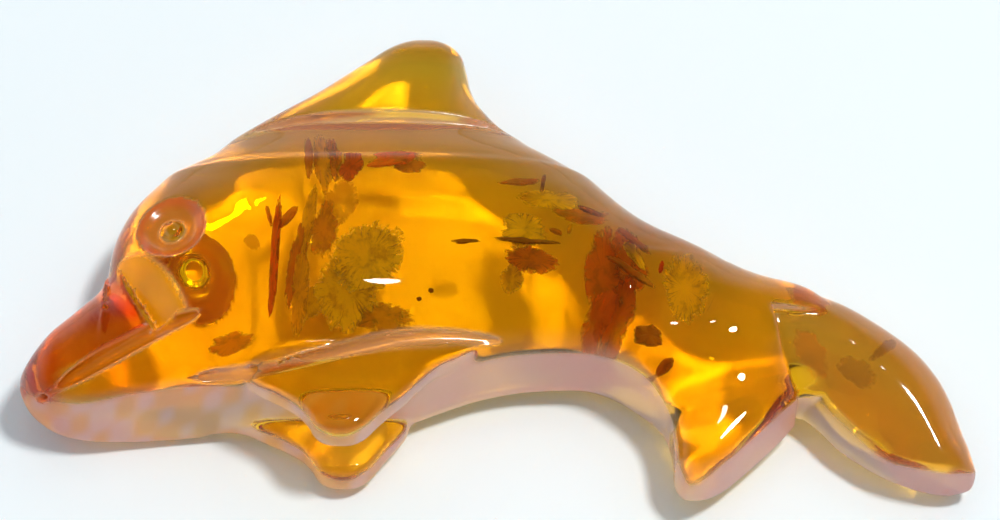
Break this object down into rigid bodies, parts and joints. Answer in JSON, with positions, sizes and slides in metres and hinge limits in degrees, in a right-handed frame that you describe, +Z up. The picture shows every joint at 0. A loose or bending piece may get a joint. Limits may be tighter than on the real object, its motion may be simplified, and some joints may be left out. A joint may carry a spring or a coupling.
{
  "type": "amber dolphin carving",
  "caption": "Polished see-through golden amber carved as a leaping dolphin, an ornament that lies on its side.",
  "frame": {"origin": "centre of the bounding box in plan, at the level of the flat resting spot", "axes": "+X from the beak to the tail, +Y towards the back fin, +Z up from the resting spot through the thickness"},
  "size_m": [0.0558, 0.0294, 0.0102],
  "materials": {
    "amber": "gloss"
  },
  "bodies": {
    "root": {"amber_dolphin": "amber"}
  },
  "joints": []
}
